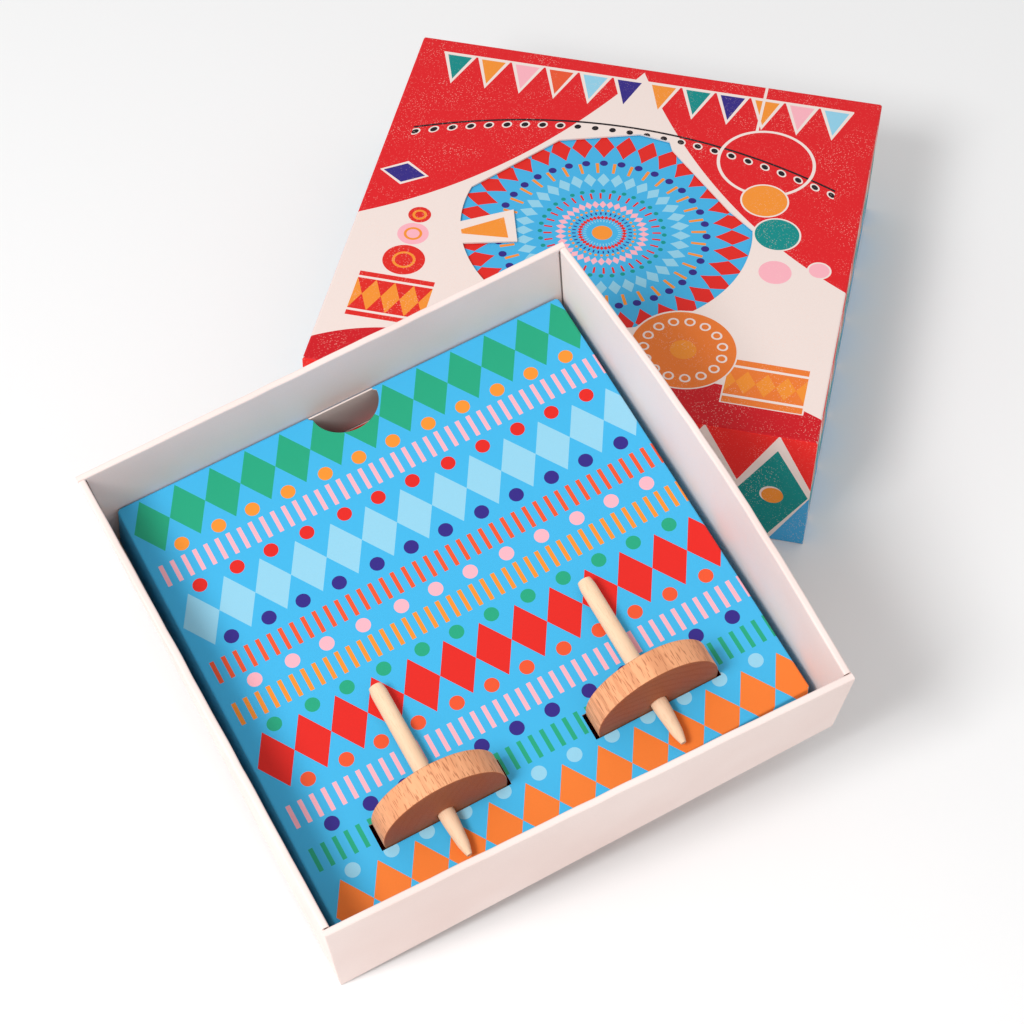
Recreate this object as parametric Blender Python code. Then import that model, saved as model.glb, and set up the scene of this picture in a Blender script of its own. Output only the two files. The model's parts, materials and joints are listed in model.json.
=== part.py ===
"""Boxed pair of wooden spinning tops.

A square card tray leans on its own card lid. A folded card insert stands in the tray, and two
wooden tops lie on it, each with its disc let down through a slot. Sizes are in metres, +Z is up,
and the origin is the middle of the whole set's bounding box, on the table that the set stands on.
"""
import math

import bmesh
import bpy
from mathutils import Matrix, Vector

# Clearance between pieces that touch or fold against each other.
GAP = 0.0003

# Tray: a square box whose walls roll over a narrow rim and down the inside.
TRAY_SIDE = 0.160
TRAY_HEIGHT = 0.043
TRAY_CARD = 0.0005
TRAY_WALL = 3 * TRAY_CARD + 2 * GAP
TRAY_TAB_LENGTH = 0.016
TRAY_TAB_MARGIN = 0.003
RIGHT_WALL_BOW = 0.0030
WALL_STEPS = 20
TAB_STEPS = 3

# How far each corner of the tray's rim leans from the upright, along X and along Y.
CORNER_LEANS = {"front_left": (0.0004, 0.0004), "front_right": (0.0012, -0.0046),
                "back_right": (-0.0003, 0.0008), "back_left": (-0.0021, 0.0)}

# Insert: a deck on four folded flaps, pushed against the tray's back wall.
INSERT_PLAY = 0.0053
INSERT_RIGHT_GAP = 0.0021
CUTS_OFF_MIDDLE = 0.0005
INSERT_CARD = 0.0005
FLAP_END_INSET = 0.0010
FLAP_WALL_CLEARANCE = 0.0008
NOTCH_RADIUS = 0.0109
NOTCH_STEPS = 48

# Tops: a disc pressed on a dowel spindle.
DISC_DIAMETER = 0.039
DISC_THICKNESS = 0.0080
DISC_EDGE = 0.0005
SPINDLE_DIAMETER = 0.0050
SPINDLE_END_CHAMFER = 0.0005
HANDLE_LENGTH = 0.0358
TIP_LENGTH = 0.0141
TIP_STRAIGHT = 0.0045
TIP_RADIUS = 0.0012
TIP_STEPS = 6
TURNED_STEPS = 56
TOP_SPACING = 0.0683
TOP_FROM_FRONT = 0.0203
SLOT_CLEARANCE = 0.0003
SLOT_END_CLEARANCE = 0.0012
DISC_FLOOR_CLEARANCE = 0.0005

# Folded sheet stored on the tray's base, between the insert's flaps.
SHEET_THICKNESS = 0.0005
SHEET_CLEARANCE = 0.0005

# Lid: a square cap with a die-cut window and a printed card glued behind it.
LID_CLEARANCE = 0.0005
LID_CARD = 0.0006
LID_HEIGHT = 0.048
LID_TAB_LENGTH = 0.018
LID_TAB_MARGIN = 0.004

# Window: an arc, then corners. Each is (degrees round from +X, share of the window's radius).
# A ball and a horn of the lid's print stand out into it.
WINDOW_RADIUS = 0.0485
WINDOW_STEPS = 100
WINDOW_ROOF = ((122, 0.93), (87, 0.98), (74, 0.985), (70.5, 0.915), (23, 0.86))
WINDOW_ARC_START = 10
WINDOW_ARC_END = -190
BALL_RADIUS = 0.0170
BALL_CENTRE = (0.1165, 0.0310)
HORN_SIDES = (-156.7, -169.0)
HORN_BELL = ((-152.3, 0.633), (-180.7, 0.652))

# How the tray leans on the lid's front edge.
TRAY_TURN = math.radians(40.34)
LEAN_OVERLAP = 0.0301
LEAN_SIDE_OFFSET = 0.0609

LID_TAB_STACK = 2 * LID_CARD + GAP
LID_SIDE = TRAY_SIDE + 2 * (LID_TAB_STACK + LID_CLEARANCE)
INSERT_SIDE = TRAY_SIDE - 2 * TRAY_WALL - INSERT_PLAY
INSERT_LEFT = TRAY_SIDE - TRAY_WALL - INSERT_RIGHT_GAP - INSERT_SIDE
INSERT_FRONT = TRAY_SIDE - TRAY_WALL - GAP - INSERT_SIDE

# The discs hang just clear of the stored sheet, and the deck carries the spindles.
AXIS_HEIGHT = TRAY_CARD + GAP + SHEET_THICKNESS + DISC_FLOOR_CLEARANCE + DISC_DIAMETER / 2
DECK_TOP = AXIS_HEIGHT - SPINDLE_DIAMETER / 2 - GAP


def clear_scene():
    for item in list(bpy.data.objects):
        bpy.data.objects.remove(item, do_unlink=True)


def finish_material(name, colour, roughness):
    material = bpy.data.materials.new(name)
    material.use_nodes = True
    shader = material.node_tree.nodes["Principled BSDF"]
    shader.inputs["Base Color"].default_value = (*colour, 1.0)
    shader.inputs["Roughness"].default_value = roughness
    shader.inputs["Metallic"].default_value = 0.0
    return material


def frame(name, parent=None, location=(0, 0, 0), rotation=(0, 0, 0)):
    """An empty that carries the axes that a group of pieces is drawn in."""
    empty = bpy.data.objects.new(name, None)
    bpy.context.collection.objects.link(empty)
    empty.parent = parent
    empty.location = location
    empty.rotation_euler = rotation
    return empty


def solid(name, parent, material, bm, smooth=False):
    """Turn a bmesh into a named object under a frame."""
    bmesh.ops.recalc_face_normals(bm, faces=bm.faces)
    mesh = bpy.data.meshes.new(name)
    bm.to_mesh(mesh)
    bm.free()
    if smooth:
        mesh.shade_smooth()
        mesh.set_sharp_from_angle(angle=math.radians(35))
    piece = bpy.data.objects.new(name, mesh)
    bpy.context.collection.objects.link(piece)
    piece.parent = parent
    if material:
        mesh.materials.append(material)
    return piece


def bridge_rings(bm, rings, closed):
    """Faces between neighbouring rings of vertices; a closed set joins last to first."""
    last = len(rings) if closed else len(rings) - 1
    for index in range(last):
        near, far = rings[index], rings[(index + 1) % len(rings)]
        for step in range(len(near)):
            after = (step + 1) % len(near)
            bm.faces.new((near[step], near[after], far[after], far[step]))


def panel(name, parent, material, low, high, steps=1, bow=0.0, bow_length=1.0, bow_height=1.0):
    """A panel of card between two corners. A bow pushes its upper middle out along -Y."""
    bm = bmesh.new()
    rings = []
    for index in range(steps + 1):
        x = low[0] + (high[0] - low[0]) * index / steps
        swell = bow * math.sin(math.pi * x / bow_length) / bow_height
        ring = []
        for y, z in ((low[1], low[2]), (high[1], low[2]), (high[1], high[2]), (low[1], high[2])):
            ring.append(bm.verts.new((x, y - swell * z, z)))
        rings.append(ring)
    bridge_rings(bm, rings, closed=False)
    bm.faces.new(rings[0])
    bm.faces.new(rings[-1])
    return solid(name, parent, material, bm)


def prism(name, parent, material, outline, low, high):
    """A plate with the given outline in X and Y, from one height to another."""
    bm = bmesh.new()
    rings = [[bm.verts.new((x, y, z)) for x, y in outline] for z in (low, high)]
    bridge_rings(bm, rings, closed=False)
    bm.faces.new(rings[0])
    bm.faces.new(rings[1])
    return solid(name, parent, material, bm)


def cut(piece, cutter):
    """Take a hidden cutter out of a piece."""
    cutter.hide_render = True
    cutter.display_type = "WIRE"
    modifier = piece.modifiers.new(cutter.name, "BOOLEAN")
    modifier.operation = "DIFFERENCE"
    modifier.solver = "EXACT"
    modifier.object = cutter


def side_frames(prefix, parent, side):
    """One frame for each wall of a square box: X runs along the wall, Y points into the box."""
    corners = {"front": (0, 0), "right": (side, 0), "back": (side, side), "left": (0, side)}
    frames = {}
    for turn, (name, corner) in enumerate(corners.items()):
        frames[name] = frame(f"{prefix}_{name}_frame", parent, (*corner, 0),
                             (0, 0, turn * math.pi / 2))
    return frames


def make_tabs(prefix, walls, material, side, card, length, low, high):
    """Glue tabs behind the front and back walls, one at each end of each wall."""
    start = card + GAP
    ends = {"front": ("left", "right"), "back": ("right", "left")}
    tabs = []
    for name, (near_end, far_end) in ends.items():
        tabs.append(panel(f"{prefix}_tab_{name}_{near_end}", walls[name], material,
                          (start, start, low), (start + length, start + card, high),
                          TAB_STEPS))
        tabs.append(panel(f"{prefix}_tab_{name}_{far_end}", walls[name], material,
                          (side - start - length, start, low),
                          (side - start, start + card, high), TAB_STEPS))
    return tabs


def leaned(point):
    """Where a point of the upright tray goes when the corners of its rim lean."""
    across, along = point.x / TRAY_SIDE, point.y / TRAY_SIDE
    shares = {"front_left": (1 - across) * (1 - along), "front_right": across * (1 - along),
              "back_right": across * along, "back_left": (1 - across) * along}
    shift = Vector((0, 0, 0))
    for corner, share in shares.items():
        shift += Vector((*CORNER_LEANS[corner], 0)) * share
    return point + shift * point.z / TRAY_HEIGHT


def lean(piece):
    """Lean a piece of the tray's wall, which is drawn in its own wall's frame."""
    wall = piece.parent
    turn = Matrix.Translation(wall.location) @ wall.rotation_euler.to_matrix().to_4x4()
    for vertex in piece.data.vertices:
        vertex.co = turn.inverted() @ leaned(turn @ vertex.co)


def make_tray(tray, material):
    inside = TRAY_CARD + GAP
    panel("tray_base", tray, material,
          (inside, inside, 0), (TRAY_SIDE - inside, TRAY_SIDE - inside, TRAY_CARD))
    walls = side_frames("tray", tray, TRAY_SIDE)
    rim_low = TRAY_HEIGHT - TRAY_CARD
    wall_high = rim_low - GAP
    inner_start = TRAY_WALL + GAP
    pieces = []
    for name, wall in walls.items():
        short = name in ("left", "right")
        bow = RIGHT_WALL_BOW if name == "right" else 0.0
        outer_start = inside if short else 0.0
        rim_start = inner_start if short else 0.0
        shape = {"steps": WALL_STEPS, "bow": bow, "bow_length": TRAY_SIDE,
                 "bow_height": TRAY_HEIGHT}
        pieces.append(panel(
            f"tray_outer_{name}", wall, material,
            (outer_start, 0, 0), (TRAY_SIDE - outer_start, TRAY_CARD, wall_high), **shape))
        pieces.append(panel(
            f"tray_rim_{name}", wall, material,
            (rim_start, 0, rim_low), (TRAY_SIDE - rim_start, TRAY_WALL, TRAY_HEIGHT), **shape))
        pieces.append(panel(
            f"tray_inner_{name}", wall, material,
            (inner_start, TRAY_WALL - TRAY_CARD, inside),
            (TRAY_SIDE - inner_start, TRAY_WALL, wall_high), **shape))
    pieces.extend(make_tabs("tray", walls, material, TRAY_SIDE, TRAY_CARD, TRAY_TAB_LENGTH,
                            TRAY_TAB_MARGIN, wall_high - TRAY_TAB_MARGIN))
    for piece in pieces:
        lean(piece)


def slot_half_sizes():
    """Half the length and half the width of the slot that a disc hangs in."""
    radius = DISC_DIAMETER / 2
    height = AXIS_HEIGHT - DECK_TOP
    half_chord = math.sqrt(radius ** 2 - height ** 2)
    return half_chord + SLOT_END_CLEARANCE, DISC_THICKNESS / 2 + SLOT_CLEARANCE


def top_places():
    """Where each top's disc has its middle, along X from the insert's left edge."""
    middle = INSERT_SIDE / 2 + CUTS_OFF_MIDDLE
    return {"left": middle - TOP_SPACING / 2, "right": middle + TOP_SPACING / 2}


def flap_splays():
    """How far each flap's foot stands out: the loose flaps spread until they near a wall."""
    return {"front": INSERT_FRONT - TRAY_WALL - FLAP_WALL_CLEARANCE,
            "left": INSERT_LEFT - TRAY_WALL - FLAP_WALL_CLEARANCE,
            "right": 0.0, "back": 0.0}


def make_insert(insert, material):
    deck_low = DECK_TOP - INSERT_CARD
    over, under = DECK_TOP + GAP, deck_low - GAP
    deck = panel("insert_deck", insert, material,
                 (0, 0, deck_low), (INSERT_SIDE, INSERT_SIDE, DECK_TOP))
    half_length, half_width = slot_half_sizes()
    for name, x in top_places().items():
        cut(deck, panel(f"{name}_slot_cutter", insert, None,
                        (x - half_length, TOP_FROM_FRONT - half_width, under),
                        (x + half_length, TOP_FROM_FRONT + half_width, over)))
    middle = INSERT_SIDE / 2 + CUTS_OFF_MIDDLE
    angles = [2 * math.pi * step / NOTCH_STEPS for step in range(NOTCH_STEPS)]
    circle = [(middle + NOTCH_RADIUS * math.cos(a), INSERT_SIDE + NOTCH_RADIUS * math.sin(a))
              for a in angles]
    cut(deck, prism("notch_cutter", insert, None, circle, under, over))

    drop = deck_low - (TRAY_CARD + GAP)
    length = drop - 2 * GAP
    splays = flap_splays()
    for name, edge in side_frames("insert", insert, INSERT_SIDE).items():
        edge.location.z = deck_low
        hinge = frame(f"insert_{name}_crease", edge,
                      rotation=(-math.asin(splays[name] / length), 0, 0))
        panel(f"insert_flap_{name}", hinge, material,
              (FLAP_END_INSET, 0, -GAP - length),
              (INSERT_SIDE - FLAP_END_INSET, INSERT_CARD, -GAP))


def turned(name, parent, material, profile, hollow):
    """Spin a profile of (radius, height) points about Z. A hollow one is a closed ring."""
    bm = bmesh.new()
    rings = []
    for radius, height in profile:
        angles = [2 * math.pi * step / TURNED_STEPS for step in range(TURNED_STEPS)]
        rings.append([bm.verts.new((radius * math.cos(a), radius * math.sin(a), height))
                      for a in angles])
    bridge_rings(bm, rings, closed=hollow)
    if not hollow:
        bm.faces.new(rings[0])
        bm.faces.new(rings[-1])
    return solid(name, parent, material, bm, smooth=True)


def disc_profile():
    half, outer = DISC_THICKNESS / 2, DISC_DIAMETER / 2
    bore = SPINDLE_DIAMETER / 2 + GAP
    return [(bore, -half), (outer - DISC_EDGE, -half), (outer, DISC_EDGE - half),
            (outer, half - DISC_EDGE), (outer - DISC_EDGE, half), (bore, half)]


def spindle_profile():
    """From the tip's end up to the handle's end, with the disc's middle at height 0."""
    radius, half = SPINDLE_DIAMETER / 2, DISC_THICKNESS / 2
    taper_start = -half - TIP_STRAIGHT
    taper_length = TIP_LENGTH - TIP_STRAIGHT
    profile = [(TIP_RADIUS * 0.6, -half - TIP_LENGTH)]
    for step in range(TIP_STEPS + 1):
        share = step / TIP_STEPS
        swell = math.sin(share * math.pi / 2)
        height = taper_start - taper_length * 0.965 * (1 - share)
        profile.append((TIP_RADIUS + (radius - TIP_RADIUS) * swell, height))
    end = half + HANDLE_LENGTH
    profile.append((radius, end - SPINDLE_END_CHAMFER))
    profile.append((radius - SPINDLE_END_CHAMFER, end))
    return profile


def make_tops(insert, disc_material, spindle_material):
    """Both tops lie with the handle to the back, so their own Z axis points along the deck's Y."""
    for name, x in top_places().items():
        axis = frame(f"{name}_top_axis", insert, (x, TOP_FROM_FRONT, AXIS_HEIGHT),
                     (-math.pi / 2, 0, 0))
        turned(f"{name}_top_spindle", axis, spindle_material, spindle_profile(), hollow=False)
        turned(f"{name}_top_disc", axis, disc_material, disc_profile(), hollow=True)


def make_stored_sheet(tray, material):
    edge = INSERT_CARD + SHEET_CLEARANCE
    low = TRAY_CARD + GAP
    panel("stored_sheet", tray, material, (INSERT_LEFT + edge, INSERT_FRONT + edge, low),
          (INSERT_LEFT + INSERT_SIDE - edge, INSERT_FRONT + INSERT_SIDE - edge,
           low + SHEET_THICKNESS))


def ball_near_edge(angle, middle):
    """How far from the window's middle the printed ball begins in that direction."""
    reach = Vector(BALL_CENTRE) - Vector((middle, middle))
    ahead = reach.dot(Vector((math.cos(angle), math.sin(angle))))
    depth = BALL_RADIUS ** 2 - (reach.length_squared - ahead ** 2)
    return ahead - math.sqrt(depth) if ahead > 0 and depth > 0 else math.inf


def window_outline():
    """A round window, clipped by a tent roof above, a horn on the left and a ball below."""
    middle = LID_SIDE / 2
    span = WINDOW_ARC_END - WINDOW_ARC_START
    arc = [WINDOW_ARC_START + span * step / WINDOW_STEPS for step in range(WINDOW_STEPS + 1)]
    horn_start, horn_end = HORN_SIDES
    polar = [(degrees, 1.0) for degrees in arc if degrees > horn_start]
    polar.extend([(horn_start, 1.0), *HORN_BELL, (horn_end, 1.0)])
    polar.extend([(degrees, 1.0) for degrees in arc if degrees < horn_end])
    polar.extend(WINDOW_ROOF)
    outline = []
    for degrees, share in polar:
        angle = math.radians(degrees)
        radius = min(WINDOW_RADIUS * share, ball_near_edge(angle, middle))
        outline.append((middle + radius * math.cos(angle), middle + radius * math.sin(angle)))
    return outline


def make_lid(lid, outside_material, window_material):
    top_low = LID_HEIGHT - LID_CARD
    top = panel("lid_top", lid, outside_material,
                (0, 0, top_low), (LID_SIDE, LID_SIDE, LID_HEIGHT))
    cut(top, prism("window_cutter", lid, None, window_outline(),
                   top_low - GAP, LID_HEIGHT + GAP))
    walls = side_frames("lid", lid, LID_SIDE)
    wall_high = top_low - GAP
    for name, wall in walls.items():
        start = LID_CARD + GAP if name in ("left", "right") else 0.0
        panel(f"lid_wall_{name}", wall, outside_material,
              (start, 0, 0), (LID_SIDE - start, LID_CARD, wall_high))
    card_high = wall_high
    card_low = card_high - LID_CARD
    inset = LID_TAB_STACK + GAP
    panel("window_card", lid, window_material,
          (inset, inset, card_low), (LID_SIDE - inset, LID_SIDE - inset, card_high))
    make_tabs("lid", walls, outside_material, LID_SIDE, LID_CARD, LID_TAB_LENGTH,
              LID_TAB_MARGIN, wall_high - LID_TAB_MARGIN)


def tray_pose():
    """The tray's place, with the lid's front left bottom corner at the origin.

    Its lowest corner stands on the table, and its underside rests on the lid's front top edge.
    """
    reach = TRAY_SIDE * (math.sin(TRAY_TURN) + math.cos(TRAY_TURN)) - LEAN_OVERLAP
    slope = math.asin(LID_HEIGHT / math.hypot(reach, GAP)) + math.atan(GAP / reach)
    y = -reach * math.cos(slope) - GAP * math.sin(slope)
    tilt = Matrix.Rotation(slope, 4, "X")
    return Matrix.Translation((LEAN_SIDE_OFFSET, y, 0)) @ tilt @ Matrix.Rotation(TRAY_TURN, 4, "Z")


def set_origin(pose):
    """The middle of the set's bounding box, on the table, in the same axes as tray_pose."""
    corners = []
    for x in (0, 1):
        for y in (0, 1):
            corners.append(Vector((x * LID_SIDE, y * LID_SIDE, 0)))
            for z in (0, 1):
                corner = Vector((x * TRAY_SIDE, y * TRAY_SIDE, z * TRAY_HEIGHT))
                corners.append(pose @ leaned(corner))
    middle = [(min(c[i] for c in corners) + max(c[i] for c in corners)) / 2 for i in (0, 1)]
    return Vector((*middle, 0))


def build():
    clear_scene()
    white_card = finish_material("white_card", (0.85, 0.74, 0.70), 0.55)
    blue_print = finish_material("blue_print", (0.07, 0.51, 0.85), 0.50)
    red_print = finish_material("red_print", (0.73, 0.015, 0.02), 0.50)
    window_print = finish_material("window_print", (0.08, 0.43, 0.75), 0.50)
    red_paper = finish_material("red_paper", (0.60, 0.02, 0.02), 0.60)
    beech = finish_material("beech", (0.75, 0.42, 0.22), 0.60)
    pale_dowel = finish_material("pale_dowel", (0.95, 0.74, 0.52), 0.60)

    pose = tray_pose()
    origin = set_origin(pose)
    lid = frame("lid_frame", location=-origin)
    tray = frame("tray_frame")
    tray.matrix_world = Matrix.Translation(-origin) @ pose
    insert = frame("insert_frame", tray, (INSERT_LEFT, INSERT_FRONT, 0))

    make_lid(lid, red_print, window_print)
    make_tray(tray, white_card)
    make_stored_sheet(tray, red_paper)
    make_insert(insert, blue_print)
    make_tops(insert, beech, pale_dowel)


build()
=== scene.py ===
"""Boxed pair of wooden spinning tops: a white tray, its printed insert, two tops and a printed lid."""
import json
import math

import bmesh
import bpy
from mathutils import Matrix, Vector


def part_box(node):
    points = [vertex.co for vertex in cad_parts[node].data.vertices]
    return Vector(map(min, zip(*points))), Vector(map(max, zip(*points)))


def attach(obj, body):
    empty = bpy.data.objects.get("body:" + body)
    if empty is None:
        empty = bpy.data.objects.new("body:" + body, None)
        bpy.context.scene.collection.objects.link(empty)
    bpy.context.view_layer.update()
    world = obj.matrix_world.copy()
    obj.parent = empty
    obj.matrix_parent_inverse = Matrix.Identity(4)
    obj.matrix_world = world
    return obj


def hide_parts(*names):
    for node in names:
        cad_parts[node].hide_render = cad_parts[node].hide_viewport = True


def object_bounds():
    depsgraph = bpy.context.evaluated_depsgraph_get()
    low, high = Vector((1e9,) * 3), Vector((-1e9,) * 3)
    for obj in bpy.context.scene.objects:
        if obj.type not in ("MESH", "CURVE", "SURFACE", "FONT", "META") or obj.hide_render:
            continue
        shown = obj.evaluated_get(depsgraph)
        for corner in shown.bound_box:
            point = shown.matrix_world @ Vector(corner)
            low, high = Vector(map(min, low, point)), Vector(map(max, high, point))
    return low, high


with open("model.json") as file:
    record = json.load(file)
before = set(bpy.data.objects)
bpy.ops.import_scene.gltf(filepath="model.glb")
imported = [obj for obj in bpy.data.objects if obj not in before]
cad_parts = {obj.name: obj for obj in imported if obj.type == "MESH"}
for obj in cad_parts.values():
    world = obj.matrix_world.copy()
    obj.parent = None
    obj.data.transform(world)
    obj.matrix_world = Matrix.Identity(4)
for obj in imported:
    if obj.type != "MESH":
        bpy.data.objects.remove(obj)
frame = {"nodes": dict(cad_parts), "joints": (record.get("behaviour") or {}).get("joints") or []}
cad_low, cad_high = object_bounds()

# ---------------------------------------------------------------------------------------------
# Tray. One blank of white board: each wall runs up the outside, rolls over a narrow rim and runs
# down the inside, which hides the glued corner tabs. The tray leans, so its pieces are drawn in
# its own axes, X along the front wall and Z out of its mouth, and laid in place at the end.
# ---------------------------------------------------------------------------------------------
joints = {joint["name"]: joint for joint in frame["joints"]}
tray_up = Vector(joints["insert_lift"]["axis"]).normalized()
tray_back = Vector(joints["left_top_spin"]["axis"]).normalized()
tray_axes = Matrix((tray_back.cross(tray_up), tray_back, tray_up))
wall_names = ("front", "right", "back", "left")


def cad_points(node):
    """The corners of a CAD node, along the tray's axes."""
    return [tray_axes @ vertex.co for vertex in frame["nodes"][node].data.vertices]


def box_of(points):
    """The lowest and highest corner around some points."""
    return [Vector([pick(point[i] for point in points) for i in range(3)]) for pick in (min, max)]


floor_level = box_of(cad_points("tray_base"))[0].z
foot = box_of([point for point in cad_points("tray_outer_front")
               if point.z < floor_level + 0.001])
tray_corner = Vector((foot[0].x, foot[0].y, floor_level))
tray_place = tray_axes.transposed().to_4x4() @ Matrix.Translation(tray_corner)


def in_tray(node):
    """The lowest and highest corner of a CAD node, from the tray's front left bottom corner."""
    return [corner - tray_corner for corner in box_of(cad_points(node))]


tray_side = foot[1].x - foot[0].x
tray_card = foot[1].y - foot[0].y
tray_height = in_tray("tray_rim_front")[1].z
inner_panel = in_tray("tray_inner_front")

# The walls lean a little, each corner of the rim its own way.
rim_points = [point - tray_corner for name in ("front", "back")
              for point in cad_points(f"tray_rim_{name}")]
corner_leans = {}
for right, back in ((0, 0), (1, 0), (1, 1), (0, 1)):
    outermost = max(rim_points, key=lambda p: p.x * (2 * right - 1) + p.y * (2 * back - 1))
    corner_leans[right, back] = outermost.to_2d() - Vector((right, back)) * tray_side
tray_wall = max(p.y for p in rim_points if p.x < 0.003 and p.y < 0.02) - corner_leans[0, 0].y
side_outer_start = in_tray("tray_outer_left")[0].y
side_rim_start = in_tray("tray_rim_left")[0].y - corner_leans[0, 0].y
right_wall_bow = in_tray("tray_rim_right")[1].x - tray_side - (
    corner_leans[1, 0].x + corner_leans[1, 1].x) / 2


def leaned(point):
    """Where a point of the upright tray goes when the corners of its rim lean."""
    across, along = point.x / tray_side, point.y / tray_side
    shift = Vector((0, 0, 0))
    for (right, back), lean in corner_leans.items():
        share = (across if right else 1 - across) * (along if back else 1 - along)
        shift += lean.to_3d() * share
    return point + shift * point.z / tray_height


FOLD_RADIUS = 0.00065
FOLD_STEPS = 5
FLAT_BESIDE_FOLD = 0.00025
SHARP_EDGE = math.radians(38)


def ink(red, green, blue):
    """A colour mixed as a printer would name it, from 0 to 255, as the shader's linear colour."""
    parts = [value / 255 for value in (red, green, blue)]
    linear = [p / 12.92 if p <= 0.04045 else ((p + 0.055) / 1.055) ** 2.4 for p in parts]
    return (*linear, 1.0)


class Amount:
    """A number worked out by a material's nodes. It adds and compares as a plain number does."""

    def __init__(self, socket):
        self.socket = socket

    def worked(self, operation, *others):
        node = self.socket.id_data.nodes.new("ShaderNodeMath")
        node.operation = operation
        for slot, value in zip(node.inputs, (self, *others)):
            if isinstance(value, Amount):
                self.socket.id_data.links.new(value.socket, slot)
            else:
                slot.default_value = value
        return Amount(node.outputs[0])

    def __add__(self, other):
        return self.worked("ADD", other)

    def __sub__(self, other):
        return self.worked("SUBTRACT", other)

    def __mul__(self, other):
        return self.worked("MULTIPLY", other)

    def __truediv__(self, other):
        return self.worked("DIVIDE", other)

    def __abs__(self):
        return self.worked("ABSOLUTE")

    def __lt__(self, other):
        return self.worked("LESS_THAN", other)

    def __gt__(self, other):
        return self.worked("GREATER_THAN", other)

    def ramp(self, low, high, start=0.0, end=1.0):
        """start below low, end above high, and a smooth step between them."""
        node = self.socket.id_data.nodes.new("ShaderNodeMapRange")
        node.interpolation_type = "SMOOTHSTEP"
        self.socket.id_data.links.new(self.socket, node.inputs["Value"])
        for name, value in (("From Min", low), ("From Max", high), ("To Min", start),
                            ("To Max", end)):
            node.inputs[name].default_value = value
        return Amount(node.outputs["Result"])


class Finish:
    """One material in the making: its nodes, and the coordinates that they read."""

    def __init__(self, name, roughness, blank=None):
        self.material = bpy.data.materials.new(name)
        self.material.use_nodes = True
        self.tree = self.material.node_tree
        self.shader = self.tree.nodes["Principled BSDF"]
        self.shader.inputs["Roughness"].default_value = roughness
        self.shader.inputs["Specular IOR Level"].default_value = 0.16
        self.place = self.node("ShaderNodeTexCoord").outputs["Object"]
        if blank:
            apart = self.node("ShaderNodeSeparateXYZ",
                              Vector=self.node("ShaderNodeUVMap", uv_map=blank).outputs["UV"])
            self.across, self.along = Amount(apart.outputs["X"]), Amount(apart.outputs["Y"])

    def node(self, kind, **given):
        """A node whose inputs are given by name; anything that isn't an input is a setting."""
        node = self.tree.nodes.new(kind)
        for key in [key for key in given if key not in node.inputs]:
            setattr(node, key, given.pop(key))
        for key, value in given.items():
            if isinstance(value, bpy.types.NodeSocket):
                self.tree.links.new(value, node.inputs[key])
            else:
                node.inputs[key].default_value = value
        return node

    def noise(self, scale, detail=2.0, stretch=(1, 1, 1), place=None):
        """Cloudy noise from 0 to 1, with so many lumps to the metre, stretched by axis."""
        spread = self.node("ShaderNodeMapping", Vector=place or self.place, Scale=stretch)
        node = self.node("ShaderNodeTexNoise", Vector=spread.outputs["Vector"],
                         Scale=scale, Detail=detail)
        return Amount(node.outputs["Fac"])

    def printed(self, base, layers):
        """A colour with others laid over it in order. Each layer is (where, colour)."""
        for where, colour in layers:
            mix = self.node("ShaderNodeMix", data_type="RGBA")
            self.tree.links.new(where.socket, mix.inputs["Factor"])
            for slot, value in ((mix.inputs[6], base), (mix.inputs[7], colour)):
                if isinstance(value, bpy.types.NodeSocket):
                    self.tree.links.new(value, slot)
                else:
                    slot.default_value = value
            base = mix.outputs[2]
        self.tree.links.new(base, self.shader.inputs["Base Color"])
        return base

    def shaded(self, colour, amount):
        """The colour made lighter or darker by an amount around 1."""
        grey = self.node("ShaderNodeCombineColor")
        for slot in grey.inputs[:3]:
            self.tree.links.new(amount.socket, slot)
        mix = self.node("ShaderNodeMix", data_type="RGBA", blend_type="MULTIPLY")
        mix.inputs["Factor"].default_value = 1.0
        self.tree.links.new(colour, mix.inputs[6])
        self.tree.links.new(grey.outputs[0], mix.inputs[7])
        self.tree.links.new(mix.outputs[2], self.shader.inputs["Base Color"])
        return mix.outputs[2]

    def rough(self, amount):
        self.tree.links.new(amount.socket, self.shader.inputs["Roughness"])

    def bumped(self, height, distance, strength=1.0):
        bump = self.node("ShaderNodeBump", Distance=distance, Strength=strength)
        self.tree.links.new(height.socket, bump.inputs["Height"])
        self.tree.links.new(bump.outputs["Normal"], self.shader.inputs["Normal"])

    def inked(self, colour, depth):
        """Printing ink on smooth board, whose fine grain shows in its colour and its sheen."""
        grain = self.noise(3200, 2.0)
        self.shaded(colour, grain * depth + (1.0 - depth / 2))
        self.rough(grain * 0.2 + 0.38)
        self.bumped(grain, 0.00003, 0.35)


def board_finish(name, light, dark, roughness=0.62):
    """Uncoated board: a fine fibre in its surface, and slow drifts of tone across it."""
    board = Finish(name, roughness)
    fibre = board.noise(2600, 3.0, (1.0, 0.45, 1.0))
    drift = board.noise(22, 2.0)
    speck = board.noise(5200, 1.0)
    tone = board.printed(light, [(drift.ramp(0.35, 0.75), dark)])
    board.shaded(tone, fibre * 0.07 + speck * 0.03 + 0.95)
    board.rough(fibre * 0.16 + (roughness - 0.08))
    board.bumped(fibre * 0.8 + drift * 0.6, 0.00006, 0.5)
    return board.material


tray_board = board_finish("white_tray_board", ink(247, 229, 223), ink(241, 219, 212))


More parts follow.
